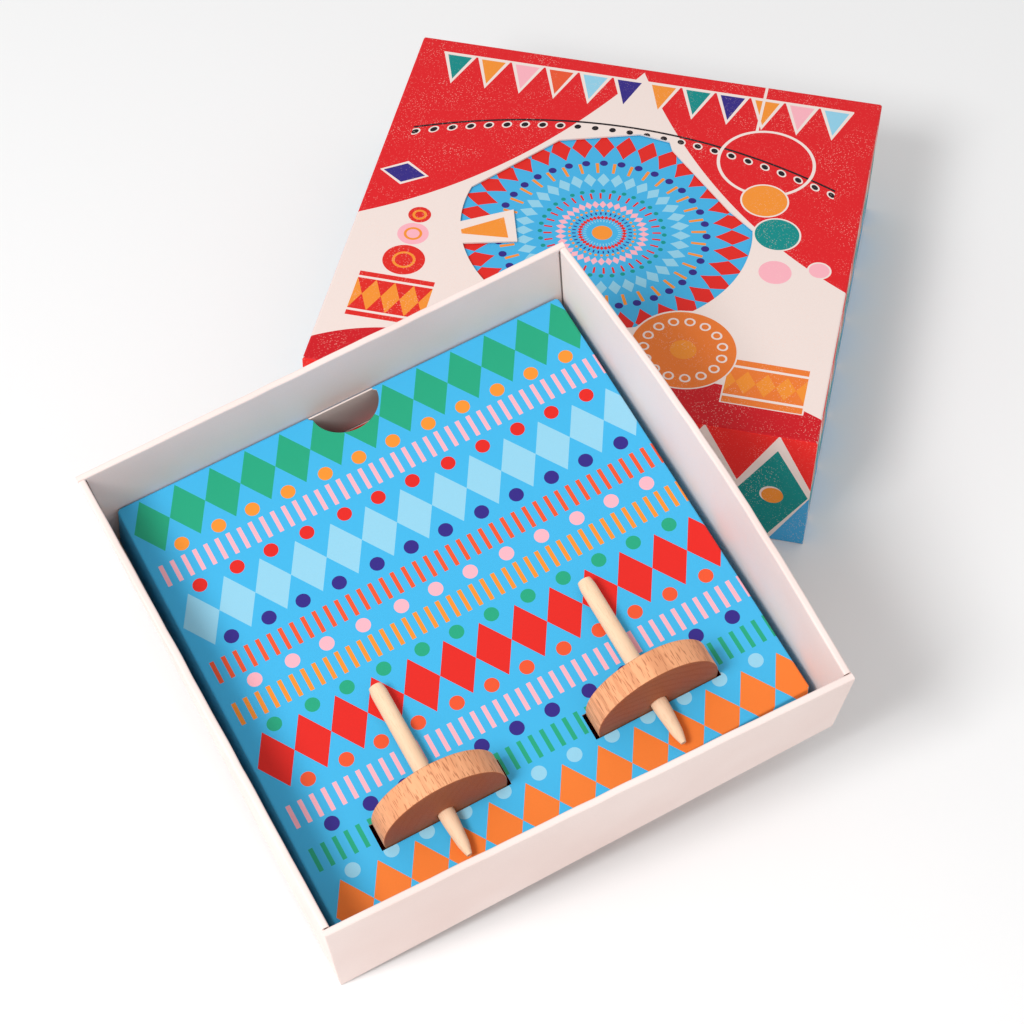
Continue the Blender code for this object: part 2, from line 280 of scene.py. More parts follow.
def rounded_path(corners, radius):
    """A path of straight runs with its inner corners rounded, and a short flat beside each."""
    path = [Vector(corners[0])]
    for before, here, after in zip(corners, corners[1:], corners[2:]):
        here = Vector(here)
        back, on = (Vector(before) - here).normalized(), (Vector(after) - here).normalized()
        centre = here + (back + on) * radius
        path.append(here + back * (radius + FLAT_BESIDE_FOLD))
        for step in range(FOLD_STEPS + 1):
            angle = step / FOLD_STEPS * math.pi / 2
            path.append(centre - on * radius * math.cos(angle) - back * radius * math.sin(angle))
        path.append(here + on * (radius + FLAT_BESIDE_FOLD))
    path.append(Vector(corners[-1]))
    return path


def finished(name, draft, place):
    """The draft with its modifiers applied, laid in its place as a plain mesh of its own."""
    draft.modifiers.new("even_normals", "WEIGHTED_NORMAL").keep_sharp = True
    graph = bpy.context.evaluated_depsgraph_get()
    mesh = bpy.data.meshes.new_from_object(draft.evaluated_get(graph))
    mesh.transform(place)
    mesh.name = name
    piece = bpy.data.objects.new(name, mesh)
    bpy.context.collection.objects.link(piece)
    bpy.data.objects.remove(draft, do_unlink=True)
    return piece


def draft_piece(bm, *materials):
    """A working object made from a bmesh, smooth but for its sharp edges."""
    mesh = bpy.data.meshes.new("draft")
    bm.to_mesh(mesh)
    bm.free()
    for material in materials:
        mesh.materials.append(material)
    mesh.shade_smooth()
    mesh.set_sharp_from_angle(angle=SHARP_EDGE)
    draft = bpy.data.objects.new("draft", mesh)
    bpy.context.collection.objects.link(draft)
    return draft


def thickened(draft, thickness, edge_material=0):
    """Gives a folded sheet its board, inwards from its printed face."""
    solidify = draft.modifiers.new("board", "SOLIDIFY")
    solidify.thickness = thickness
    solidify.offset = -1
    solidify.use_even_offset = True
    solidify.material_offset = edge_material
    solidify.material_offset_rim = edge_material
    bpy.context.view_layer.update()
    graph = bpy.context.evaluated_depsgraph_get()
    mesh = bpy.data.meshes.new_from_object(draft.evaluated_get(graph))
    draft.modifiers.clear()
    mesh.shade_smooth()
    mesh.set_sharp_from_angle(angle=SHARP_EDGE)
    draft.data = mesh
    return draft


def wall_turn(index, side):
    """From one wall's own axes, X along it and Y into the box, to the box's axes."""
    corner = ((0, 0), (side, 0), (side, side), (0, side))[index]
    return Matrix.Translation((*corner, 0)) @ Matrix.Rotation(index * math.pi / 2, 4, "Z")


WALL_COLUMNS = 96
WALL_RIPPLE = 0.00012
END_STEP = 0.0004
wall_shapes = {
    "front": (0.0, 0.0, 0.0), "back": (0.0, 0.0, 0.0),
    "right": (side_outer_start, side_rim_start, right_wall_bow),
    "left": (side_outer_start, side_rim_start, 0.0),
}
fold_foot = tray_height - FOLD_RADIUS - FLAT_BESIDE_FOLD
section = rounded_path([(FOLD_RADIUS + FLAT_BESIDE_FOLD, 0), (0, 0), (0, tray_height),
                        (tray_wall, tray_height), (tray_wall, inner_panel[0].z)],
                       FOLD_RADIUS)[1:]
for index, wall_name in enumerate(wall_names):
    outer_start, rim_start, bow = wall_shapes[wall_name]
    turn = wall_turn(index, tray_side)
    path = [(point, outer_start) for point in section if point.x < 0.001
            and point.y < fold_foot - 1e-6]
    path.append((Vector((0, fold_foot - END_STEP)), outer_start))
    path.extend([(point, rim_start) for point in section if point.y > fold_foot - 1e-6])
    path.append((Vector((tray_wall, fold_foot - END_STEP)), inner_panel[0].x))
    path.append((section[-1], inner_panel[0].x))
    bm = bmesh.new()
    columns = []
    for column in range(WALL_COLUMNS + 1):
        share = column / WALL_COLUMNS
        ring = []
        for (across, height), start in path:
            x = start + (tray_side - 2 * start) * share
            swell = bow * math.sin(math.pi * x / tray_side) * height / tray_height
            ripple = WALL_RIPPLE * (height / tray_height) * math.sin(math.pi * share) * (
                math.sin(share * 19 + index * 2.1) + 0.6 * math.sin(share * 43 + index))
            upright = turn @ Vector((x, across - swell + abs(ripple), height))
            ring.append(bm.verts.new(leaned(upright)))
        columns.append(ring)
    for near, far in zip(columns, columns[1:]):
        for row in range(len(path) - 1):
            bm.faces.new((near[row], far[row], far[row + 1], near[row + 1]))
    wall = finished(f"tray_wall_{wall_name}", thickened(draft_piece(bm, tray_board), tray_card),
                    tray_place)
    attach(wall, "tray")
    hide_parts(f"tray_outer_{wall_name}", f"tray_rim_{wall_name}",
                f"tray_inner_{wall_name}")

# ---------------------------------------------------------------------------------------------
# Tray floor and corner tabs. The floor is the middle of the same blank, pressed a little hollow
# by what it has carried. The tabs are glued between the wall's two layers.
# ---------------------------------------------------------------------------------------------
FLOOR_HOLLOW = 0.00015
FLOOR_CELLS = 32
floor_start = FOLD_RADIUS + FLAT_BESIDE_FOLD + 0.0001
bm = bmesh.new()
bmesh.ops.create_grid(bm, x_segments=FLOOR_CELLS, y_segments=FLOOR_CELLS, size=0.5)
for vertex in bm.verts:
    u, v = vertex.co.x, vertex.co.y
    rise = FLOOR_HOLLOW * math.cos(math.pi * u) * math.cos(math.pi * v)
    width = tray_side - 2 * floor_start
    vertex.co = (tray_side / 2 + u * width, tray_side / 2 + v * width, tray_card + rise)
tray_floor = finished("tray_floor", thickened(draft_piece(bm, tray_board), tray_card),
                      tray_place)
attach(tray_floor, "tray")
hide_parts("tray_base")

tab_board = board_finish("tray_tab_board", ink(240, 222, 214), ink(232, 210, 202), 0.7)
for end in ("front_left", "front_right", "back_left", "back_right"):
    frame["nodes"][f"tray_tab_{end}"].data.materials.clear()
    frame["nodes"][f"tray_tab_{end}"].data.materials.append(tab_board)

# ---------------------------------------------------------------------------------------------
# Stored sheet. A red paper, folded once, that lies on the tray's floor under the insert. Only a
# sliver of it shows, through the thumb notch.
# ---------------------------------------------------------------------------------------------
sheet_low, sheet_high = in_tray("stored_sheet")
LEAF = 0.00012
SHEET_WAVE = 0.00010
SHEET_FOLD_STEPS = 8
SHEET_ROWS = 24
red_leaf = board_finish("red_sheet_paper", ink(205, 30, 34), ink(186, 22, 28), 0.55)
fold_radius = (sheet_high.z - sheet_low.z) / 2
bm = bmesh.new()
rows = []
for row in range(SHEET_ROWS + 1):
    x = sheet_low.x + (sheet_high.x - sheet_low.x) * row / SHEET_ROWS
    wave = SHEET_WAVE * (0.5 + 0.5 * math.sin(row * 0.9))
    ring = [bm.verts.new((x, sheet_high.y - 0.004, sheet_low.z))]
    for step in range(SHEET_FOLD_STEPS + 1):
        angle = math.pi * step / SHEET_FOLD_STEPS
        ring.append(bm.verts.new((x, sheet_low.y + fold_radius * (1 - math.sin(angle)),
                                  sheet_low.z + fold_radius * (1 - math.cos(angle)))))
    ring.append(bm.verts.new((x, sheet_high.y, sheet_high.z - wave)))
    rows.append(ring)
for near, far in zip(rows, rows[1:]):
    for step in range(len(near) - 1):
        bm.faces.new((near[step], near[step + 1], far[step + 1], far[step]))
bmesh.ops.reverse_faces(bm, faces=bm.faces)
stored_sheet = finished("folded_red_sheet", thickened(draft_piece(bm, red_leaf), LEAF),
                        tray_place)
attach(stored_sheet, "tray")
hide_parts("stored_sheet")

# ---------------------------------------------------------------------------------------------
# Insert. A sheet of board printed on one side, with two slots and a thumb notch cut in it and a
# flap folded down on each side to stand on. Its print is rows of diamonds, dots and dashes.
# ---------------------------------------------------------------------------------------------
deck_low, deck_high = in_tray("insert_deck")
insert_side = deck_high.x - deck_low.x
insert_card = deck_high.z - deck_low.z
flap_front = in_tray("insert_flap_front")
flap_back = in_tray("insert_flap_back")
flap_length = flap_back[1].z - flap_back[0].z
flap_inset = flap_back[0].x - deck_low.x
front_splay = deck_low.y - flap_front[0].y
left_splay = deck_low.x - in_tray("insert_flap_left")[0].x
insert_place = tray_place @ Matrix.Translation((deck_low.x, deck_low.y, deck_high.z))
deck_points = [tray_axes @ vertex.co - tray_corner - deck_low
               for vertex in frame["nodes"]["insert_deck"].data.vertices]


def cut_box(points, low, high):
    """The box around those points of a sheet's outline that lie between two corners."""
    inside = [p for p in points if low[0] < p.x < high[0] and low[1] < p.y < high[1]]
    return [min(p.x for p in inside), min(p.y for p in inside),
            max(p.x for p in inside), max(p.y for p in inside)]


MM = 0.001
EDGE_BAND = FOLD_RADIUS + FLAT_BESIDE_FOLD
NOTCH_STEPS = 40
PANEL_ROWS = (0.02, 0.35, 0.7, 1.0)


def folded_square(side, holes, panels, notch=None):
    """A square top with a panel folded down on each side, as a sheet with a blank map.

    holes are outlines in the top. panels gives each side's (length, inset, splay). notch is
    (middle, half width, depth) of a bite out of the back edge. The map unfolds the sheet flat,
    in millimetres from the top's front left corner.
    """
    bm = bmesh.new()
    blank = bm.loops.layers.uv.new("blank")
    flat = {}

    def point(co, unfolded):
        vertex = bm.verts.new(co)
        flat[vertex] = unfolded
        return vertex

    def close(loop):
        for here, after in zip(loop, loop[1:] + loop[:1]):
            if not bm.edges.get((here, after)):
                bm.edges.new((here, after))

    low, high = EDGE_BAND, side - EDGE_BAND
    breaks = [0.0, 0.25, 0.5, 0.75, 1.0]
    if notch:
        middle, half, depth = notch
        breaks = [0.0, 0.22, (middle - half - low) / (high - low),
                  (middle + half - low) / (high - low), 0.78, 1.0]
    rims = []
    for index, (length, inset, splay) in enumerate(panels):
        turn = wall_turn(index, side)
        profile = [(EDGE_BAND, 0.0, EDGE_BAND, EDGE_BAND),
                   (FOLD_RADIUS, 0.0, FOLD_RADIUS, FOLD_RADIUS)]
        for step in range(1, FOLD_STEPS + 1):
            angle = math.pi / 2 * step / FOLD_STEPS
            profile.append((FOLD_RADIUS * (1 - math.sin(angle)),
                            -FOLD_RADIUS * (1 - math.cos(angle)),
                            FOLD_RADIUS + (inset - FOLD_RADIUS) * step / FOLD_STEPS,
                            FOLD_RADIUS * (1 - angle)))
        for share in PANEL_ROWS:
            fall = (length - FOLD_RADIUS) * share
            profile.append((-splay * share, -FOLD_RADIUS - fall, inset,
                            FOLD_RADIUS * (1 - math.pi / 2) - fall))
        grid = []
        for across, height, start, unfolded in profile:
            line = []
            for share in breaks:
                x = start + (side - 2 * start) * share
                if notch and index == 2:
                    x = low + (high - low) * share if 0 < share < 1 else x
                place = turn @ Vector((x, across, height))
                seat = turn @ Vector((x, unfolded, 0))
                line.append(point(place, (seat.x / MM, seat.y / MM)))
            grid.append(line)
        for row in range(len(grid) - 1):
            for column in range(len(breaks) - 1):
                if notch and index == 2 and column == 2 and row < FOLD_STEPS + 1:
                    continue
                bm.faces.new((grid[row][column], grid[row + 1][column],
                              grid[row + 1][column + 1], grid[row][column + 1]))
        rims.append(grid[0])
    outline = []
    for index, rim in enumerate(rims):
        if notch and index == 2:
            outline.extend(rim[:3])
            for step in range(1, NOTCH_STEPS):
                angle = math.pi * step / NOTCH_STEPS
                x = middle + half * math.cos(angle)
                y = high - (depth - EDGE_BAND) * math.sin(angle)
                outline.append(point((x, y, 0), (x / MM, y / MM)))
            outline.extend(rim[3:])
        else:
            outline.extend(rim)
    close(outline)
    for hole in holes:
        close([point((x, y, 0), (x / MM, y / MM)) for x, y in hole])
    edges = [edge for edge in bm.edges if not edge.link_faces or (
        len(edge.link_faces) == 1 and all(abs(v.co.z) < 1e-9 and low - 1e-6 < v.co.x < high + 1e-6
                                          and low - 1e-6 < v.co.y < high + 1e-6
                                          for v in edge.verts))]
    bmesh.ops.triangle_fill(bm, use_beauty=True, edges=edges)
    for face in bm.faces:
        for loop in face.loops:
            loop[blank].uv = flat[loop.vert]
    bmesh.ops.remove_doubles(bm, verts=bm.verts, dist=1e-6)
    bmesh.ops.recalc_face_normals(bm, faces=bm.faces)
    top = max(bm.faces, key=lambda face: face.calc_area())
    if top.normal.z < 0:
        bmesh.ops.reverse_faces(bm, faces=bm.faces)
    return bm


slots = []
for name in ("left", "right"):
    disc_low, disc_high = [corner - deck_low for corner in in_tray(f"{name}_top_disc")]
    x0, y0, x1, y1 = cut_box(deck_points, (disc_low.x - MM, disc_low.y - MM),
                             (disc_high.x + MM, disc_high.y + MM))
    slots.append([(x0, y0), (x1, y0), (x1, y1), (x0, y1)])
notch_box = cut_box(deck_points, (insert_side * 0.3, insert_side * 0.85),
                    (insert_side * 0.7, insert_side * 1.1))
notch = ((notch_box[0] + notch_box[2]) / 2, (notch_box[2] - notch_box[0]) / 2,
         insert_side - notch_box[1])
flap_drop = flap_length + (deck_low.z - flap_back[1].z) + insert_card
flaps = [(flap_drop, flap_inset, splay) for splay in (front_splay, 0.0, 0.0, left_splay)]
bm = folded_square(insert_side, slots, flaps, notch)

SKY = ink(68, 181, 230)
GRASS, SEA, PALE = ink(40, 166, 126), ink(18, 150, 140), ink(148, 208, 232)
SCARLET, TOMATO, TANGERINE, AMBER = ink(226, 42, 35), ink(236, 88, 50), ink(240, 126, 52), \
    ink(246, 148, 52)
NAVY, ROSE = ink(54, 42, 132), ink(252, 180, 192)

# Rows from the front edge to the back one: kind, height of the row's middle, and colour.
ROWS_START = -1.8
DIAMOND_PITCH, DIAMOND_START = 11.70, 7.1
DOT_PITCH, DOT_START, DOT_RADIUS = 11.79, 12.5, 2.25
DASH_PITCH, DASH_START, DASH_WIDTH, DASH_LENGTH = 3.667, 3.7, 1.35, 7.5
INSERT_ROWS = (
    ("diamond", 6.7, TANGERINE), ("late dot", 16.9, PALE), ("dash", 24.5, GRASS),
    ("dot", 32.0, NAVY), ("dash", 39.0, ROSE), ("dot", 47.2, TOMATO),
    ("diamond", 57.0, SCARLET), ("late dot", 67.0, GRASS), ("dash", 74.8, AMBER),
    ("dot", 82.2, ROSE), ("dash", 89.6, TOMATO), ("dot", 97.9, NAVY),
    ("diamond", 107.2, PALE), ("late dot", 117.4, SCARLET), ("dash", 125.1, ROSE),
    ("dot", 132.4, AMBER), ("diamond", 142.0, GRASS),
)
LATE_SHIFT = -1.05
DOT_WANDER = 0.9

insert_print = Finish("printed_insert_board", 0.5, blank="blank")


def repeats(amount, pitch):
    """How far each place is from the nearest repeat, and which repeat that is."""
    number = (amount / pitch).worked("ROUND")
    return amount - number * pitch, number


x, y = insert_print.across, insert_print.along
diamond_x, diamond_number = repeats(x - DIAMOND_START, DIAMOND_PITCH)
diamond_x = abs(diamond_x) / (DIAMOND_PITCH / 2)
counted_diamonds = (diamond_number > -0.5) * (diamond_number < 12.5)
dash_x, dash_number = repeats(x - DASH_START, DASH_PITCH)
on_dash = (abs(dash_x) < DASH_WIDTH / 2) * (dash_number > -0.5) * (dash_number < 40.5)
dots = {}
for kind, start in (("dot", DOT_START), ("late dot", DOT_START + LATE_SHIFT)):
    near, number = repeats(x - start, DOT_PITCH)
    wander = insert_print.node("ShaderNodeTexWhiteNoise", noise_dimensions="1D")
    insert_print.tree.links.new(number.socket, wander.inputs["W"])
    near = near + (Amount(wander.outputs["Value"]) - 0.5) * DOT_WANDER
    dots[kind] = near * near, (number > -0.5) * (number < 11.5)
layers = []
for kind, height, colour in INSERT_ROWS:
    rise = y - (ROWS_START + height)
    if kind == "diamond":
        layers.append((((diamond_x + abs(rise) / 9.4) < 1.0) * counted_diamonds, colour))
    elif kind == "dash":
        layers.append((on_dash * (abs(rise) < DASH_LENGTH / 2), colour))
    else:
        square, counted = dots[kind]
        layers.append((((square + rise * rise) < DOT_RADIUS ** 2) * counted, colour))
insert_print.inked(insert_print.printed(SKY, layers), 0.06)

plain_board = board_finish("plain_board_inside", ink(238, 226, 220), ink(228, 212, 205), 0.7)
draft = draft_piece(bm, insert_print.material, plain_board)
insert = finished("printed_insert", thickened(draft, insert_card, edge_material=1), insert_place)
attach(insert, "insert")
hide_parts("insert_deck", *[f"insert_flap_{name}" for name in wall_names])

# ---------------------------------------------------------------------------------------------
# Tops. Each is a disc turned from beech, bored and pressed onto a birch dowel whose lower end is
# turned to a blunt point. They are made in their own axes, Z up the spindle, by two node trees.
# ---------------------------------------------------------------------------------------------
DISC_STEPS = 144
SPINDLE_STEPS = 56
SPINDLE_RINGS = 200
TIP_FULLNESS = 0.75


class Tree:
    """A Geometry Nodes tree in the making, with named inputs."""

    def __init__(self, name, sizes):
        self.group = bpy.data.node_groups.new(name, "GeometryNodeTree")
        face = self.group.interface
        face.new_socket("Geometry", in_out="OUTPUT", socket_type="NodeSocketGeometry")
        self.keys = {}
        for size in sizes:
            socket = face.new_socket(size, in_out="INPUT", socket_type="NodeSocketFloat")
            self.keys[size] = socket.identifier
        self.given = self.group.nodes.new("NodeGroupInput").outputs

    def node(self, kind, inputs=None, **settings):
        node = self.group.nodes.new(kind)
        for key, value in settings.items():
            setattr(node, key, value)
        for key, value in (inputs or {}).items():
            if isinstance(value, Amount):
                value = value.socket
            if isinstance(value, bpy.types.NodeSocket):
                self.group.links.new(value, node.inputs[key])
            else:
                node.inputs[key].default_value = value
        return node

    def size(self, name):
        return Amount(self.given[name])

    def end(self, geometry):
        real = self.node("GeometryNodeRealizeInstances", {0: geometry})
        coloured = self.node("GeometryNodeSetMaterial", {0: real.outputs[0]})
        out = self.group.nodes.new("NodeGroupOutput")
        self.group.links.new(coloured.outputs[0], out.inputs[0])
        self.material = coloured.inputs["Material"]


def turned_disc_tree():
    """A rectangle with broken edges, swept round a circle so that the bore stays open."""
    tree = Tree("turned_disc", ("Radius", "Bore", "Thickness", "Edge"))
    wide, bore = tree.size("Radius") - tree.size("Bore"), tree.size("Bore")
    box = tree.node("GeometryNodeCurvePrimitiveQuadrilateral",
                    {"Width": wide, "Height": tree.size("Thickness")})
    soft = tree.node("GeometryNodeFilletCurve",
                     {0: box.outputs[0], "Radius": tree.size("Edge"), "Count": 4}, mode="POLY")
    ring = tree.node("GeometryNodeCurvePrimitiveCircle",
                     {"Resolution": DISC_STEPS, "Radius": bore + wide / 2})
    upright = tree.node("GeometryNodeSetCurveNormal", {0: ring.outputs[0]}, mode="Z_UP")
    swept = tree.node("GeometryNodeCurveToMesh",
                      {"Curve": upright.outputs[0], "Profile Curve": soft.outputs[0]})
    tree.end(swept.outputs[0])
    return tree


def turned_spindle_tree():
    """A line whose radius follows the turner's profile, swept with a circle."""
    tree = Tree("turned_spindle", ("Radius", "Low", "Shoulder", "High", "Tip", "Edge"))
    line = tree.node("GeometryNodeCurvePrimitiveLine", {"End": (0, 0, 1)})
    dots_on_line = tree.node("GeometryNodeResampleCurve",
                             {0: line.outputs[0], "Count": SPINDLE_RINGS})
    share = tree.node("GeometryNodeSplineParameter").outputs["Factor"]
    packed = (Amount(share) * math.pi).worked("COSINE") * -0.5 + 0.5
    low, high, edge = tree.size("Low"), tree.size("High"), tree.size("Edge")
    height = low + packed * (high - low)
    place = tree.node("ShaderNodeCombineXYZ", {"Z": height})
    laid = tree.node("GeometryNodeSetPosition",
                     {0: dots_on_line.outputs[0], "Position": place.outputs[0]})
    up_taper = ((height - low) / (tree.size("Shoulder") - low)).worked("MINIMUM", 1.0)
    cone = (up_taper * (math.pi / 2)).worked("SINE").worked("POWER", TIP_FULLNESS)
    radius = tree.size("Tip") + (tree.size("Radius") - tree.size("Tip")) * cone
    for gap, round_off in ((high - height, edge), (height - low, tree.size("Tip") * 0.5)):
        left = (gap / round_off).worked("MINIMUM", 1.0)
        fall = (left - 1.0) * (left - 1.0)
        rounding = (fall * -1.0 + 1.0).worked("SQRT")
        radius = radius - round_off * 0.96 * (rounding * -1.0 + 1.0)
    circle = tree.node("GeometryNodeCurvePrimitiveCircle",
                       {"Resolution": SPINDLE_STEPS, "Radius": 1.0})
    swept = tree.node("GeometryNodeCurveToMesh", {
        "Curve": laid.outputs[0], "Profile Curve": circle.outputs[0], "Fill Caps": True,
        "Scale": radius.worked("MAXIMUM", 0.00003)})
    tree.end(swept.outputs[0])
    return tree


def grown(name, tree, sizes, place, material):
    """The tree's result as a finished piece, with each point's own place kept as stock."""
    draft = bpy.data.objects.new("draft", bpy.data.meshes.new("draft"))
    bpy.context.collection.objects.link(draft)
    modifier = draft.modifiers.new("shape", "NODES")
    modifier.node_group = tree.group
    for size, value in sizes.items():
        modifier[tree.keys[size]] = value
    tree.material.default_value = material
    bpy.context.view_layer.update()
    graph = bpy.context.evaluated_depsgraph_get()
    mesh = bpy.data.meshes.new_from_object(draft.evaluated_get(graph))
    draft.modifiers.clear()
    bm = bmesh.new()
    bm.from_mesh(mesh)
    bmesh.ops.remove_doubles(bm, verts=bm.verts, dist=1e-6)
    bmesh.ops.recalc_face_normals(bm, faces=bm.faces)
    bm.to_mesh(mesh)
    bm.free()
    stock = mesh.attributes.new("stock", "FLOAT_VECTOR", "POINT")
    for vertex, kept in zip(mesh.vertices, stock.data):
        kept.vector = vertex.co
    mesh.shade_smooth()
    mesh.set_sharp_from_angle(angle=SHARP_EDGE)
    draft.data = mesh
    return finished(name, draft, place)


def wood_finish(name, light, middle, dark, heart, ring_pitch, ring_depth, fleck_depth, seed,
                face=None):
    """Wood whose fibres run along Z. heart is where the middle of the log lies beside it.

    face is (half thickness, colour) of painted shade: both flat ends are darkened towards that colour.
    """
    wood = Finish(name, 0.6)
    stock = wood.node("ShaderNodeAttribute", attribute_name="stock").outputs["Vector"]
    moved = wood.node("ShaderNodeMapping", Vector=stock, Location=(seed, seed * 0.7, seed * 1.3))
    place = moved.outputs["Vector"]
    apart = wood.node("ShaderNodeSeparateXYZ", Vector=stock)
    px, py = Amount(apart.outputs["X"]) - heart[0], Amount(apart.outputs["Y"]) - heart[1]
    waver = wood.noise(60, 3.0, (1, 1, 0.6), place)
    reach = (px * px + py * py).worked("SQRT") + waver * 0.0035
    ring = (reach * (2 * math.pi / ring_pitch)).worked("SINE") * 0.5 + 0.5
    tone = wood.noise(140, 4.0, (1, 1, 0.22), place)
    fibre = wood.noise(2100, 3.0, (1, 1, 0.07), place)
    pores = wood.noise(3100, 0.0, (1, 1, 0.11), place)
    fleck = pores.ramp(0.60, 0.72)
    layers = [(ring.ramp(0.55, 0.98, 0.0, ring_depth), dark),
              (tone.ramp(0.4, 0.75, 0.0, 0.6), middle),
              (fibre.ramp(0.5, 0.8, 0.0, 0.30), dark),
              (fleck * fleck_depth, dark)]
    # Painted shade: both flat ends of the disc are laid over with the darker face colour.
    if face:
        layers.append(((abs(Amount(apart.outputs["Z"])) > face[0] - 0.00015) * 0.82, face[1]))
    colour = wood.printed(light, layers)
    wood.shaded(colour, fibre * 0.12 + 0.94)
    wood.rough(fibre * 0.2 + 0.5)
    wood.bumped(fibre * 0.5 - fleck * 0.8 * fleck_depth, 0.00008, 0.55)
    return wood.material


disc_tree, spindle_tree = turned_disc_tree(), turned_spindle_tree()
TOP_LOOKS = {
    "left": {"heart": (0.052, 0.020), "ring": 0.0030, "depth": 0.16, "seed": 0.31},
    "right": {"heart": (-0.018, 0.030), "ring": 0.0030, "depth": 0.34, "seed": 0.77},
}
DISC_EDGE_ROUND = 0.00045
for name, look in TOP_LOOKS.items():
    hinge = joints[f"{name}_top_spin"]
    axis_place = (Matrix.Translation(hinge["pos_m"]) @ tray_axes.transposed().to_4x4()
                  @ Matrix.Rotation(-math.pi / 2, 4, "X"))
    disc_low, disc_high = in_tray(f"{name}_top_disc")
    rod_low, rod_high = in_tray(f"{name}_top_spindle")
    thickness = disc_high.y - disc_low.y
    middle = (disc_high.y + disc_low.y) / 2
    rod_radius = (rod_high.x - rod_low.x) / 2
    # The dark brown given last is painted shade for the disc's flat ends.
    beech = wood_finish(f"{name}_disc_beech", ink(246, 176, 130), ink(234, 156, 110),
                        ink(166, 96, 62), look["heart"], look["ring"], look["depth"], 0.62,
                        look["seed"], (thickness / 2, ink(164, 92, 58)))
    birch = wood_finish(f"{name}_spindle_birch", ink(250, 216, 182), ink(244, 203, 166),
                        ink(222, 178, 140), look["heart"], 0.0042, 0.10, 0.25,
                        look["seed"] * 2)
    disc = grown(f"{name}_disc", disc_tree, {
        "Radius": (disc_high.x - disc_low.x) / 2, "Bore": rod_radius + 0.0003,
        "Thickness": thickness, "Edge": DISC_EDGE_ROUND}, axis_place, beech)
    rod = grown(f"{name}_spindle", spindle_tree, {
        "Radius": rod_radius, "Low": rod_low.y - middle, "High": rod_high.y - middle,
        "Shoulder": -thickness / 2 - 0.0064, "Tip": 0.0016, "Edge": 0.0004},
        axis_place, birch)
    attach(disc, f"{name}_disc")
    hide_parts(f"{name}_top_disc")
    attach(rod, f"{name}_spindle")
    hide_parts(f"{name}_top_spindle")

# ---------------------------------------------------------------------------------------------
# Window card. A printed card glued up inside the lid, so that its round pattern fills the
# window. The pattern is the insert's rows bent into rings, thirty-six repeats to the turn.
# ---------------------------------------------------------------------------------------------
lid_low, lid_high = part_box("lid_top")
lid_corner = Vector((lid_low.x, lid_low.y, 0.0))
lid_side = lid_high.x - lid_low.x
lid_height = lid_high.z
PATTERN_OFF_CENTRE = (-0.0008, -0.0032)
pattern_centre = lid_corner + Vector((lid_side / 2 + PATTERN_OFF_CENTRE[0],
                                      lid_side / 2 + PATTERN_OFF_CENTRE[1], 0))
TURN_REPEAT = 10.0

# Rings from the outside in: kind, radius, half height across the ring, half width in degrees,
# turn in degrees, and colour. Radii and heights are in millimetres.
RINGS = (
    ("diamond", 43.2, 5.9, 4.75, 0.0, SCARLET), ("dot", 34.6, 1.36, 0.0, 0.0, NAVY),
    ("dash", 32.1, 2.45, 0.93, 6.3, AMBER), ("diamond", 26.1, 3.25, 4.6, 0.0, PALE),
    ("dot", 20.6, 0.8, 0.0, 0.0, SEA), ("dash", 18.1, 1.4, 1.15, 7.4, SCARLET),
    ("diamond", 13.8, 1.8, 4.9, 0.0, ROSE), ("dot", 10.9, 0.5, 0.0, 0.0, AMBER),
    ("dash", 9.4, 0.6, 1.5, 6.5, NAVY), ("diamond", 7.4, 1.0, 5.6, 0.0, SCARLET),
    ("dash", 5.8, 0.5, 1.6, 5.0, PALE),
)
HUB_RADIUS = 3.4
wheel = Finish("printed_window_card", 0.5)
centred = wheel.node("ShaderNodeMapping", Vector=wheel.place, Location=-pattern_centre)
apart = wheel.node("ShaderNodeSeparateXYZ", Vector=centred.outputs["Vector"])
wx, wy = Amount(apart.outputs["X"]) / MM, Amount(apart.outputs["Y"]) / MM
radius = (wx * wx + wy * wy).worked("SQRT")
degrees = wx.worked("ARCTAN2", wy) * (180 / math.pi)
layers = []
for kind, ring_radius, half_height, half_width, turn, colour in RINGS:
    off = abs(radius - ring_radius)
    swing = repeats(degrees - turn, TURN_REPEAT)[0]
    if kind == "diamond":
        where = (abs(swing) / half_width + off / half_height) < 1.0
    elif kind == "dash":
        where = (abs(swing) < half_width) * (off < half_height)
    else:
        sideways = swing * (math.pi / 180 * ring_radius)
        where = (sideways * sideways + off * off) < half_height ** 2
    layers.append((where, colour))
layers.append((radius < HUB_RADIUS, AMBER))
wheel.inked(wheel.printed(ink(70, 178, 228), layers), 0.06)
window_card = frame["nodes"]["window_card"]
window_card.data.materials.clear()
window_card.data.materials.append(wheel.material)

# ---------------------------------------------------------------------------------------------
# Lid. A blank of board printed outside, with a window die-cut in its top and a wall folded down
# on each side. The print is a speckled red ground with a cream tent round the window, bunting,
# a hoop, balls, drums and a horn. Cream-edged teal diamonds run round the walls.
# ---------------------------------------------------------------------------------------------
lid_card = lid_high.z - lid_low.z
side_wall_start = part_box("lid_wall_left")[0].y - lid_corner.y
centre = Vector((lid_side / 2, lid_side / 2))
top_mesh = frame["nodes"]["lid_top"].data
top_edges = set()
for polygon in top_mesh.polygons:
    if polygon.normal.z > 0.9:
        corners = [top_mesh.vertices[index].co - lid_corner for index in polygon.vertices]
        corners = [(round(corner.x, 6), round(corner.y, 6)) for corner in corners]
        top_edges.update(zip(corners, corners[1:] + corners[:1]))
following = {here: after for here, after in top_edges if (after, here) not in top_edges}
window = [min(following, key=lambda corner: (Vector(corner) - centre).length)]
while following[window[-1]] != window[0]:
    window.append(following[window[-1]])
bm = folded_square(lid_side, [window], [
    (lid_height, inset, 0.0) for inset in (0.0, side_wall_start, 0.0, side_wall_start)])

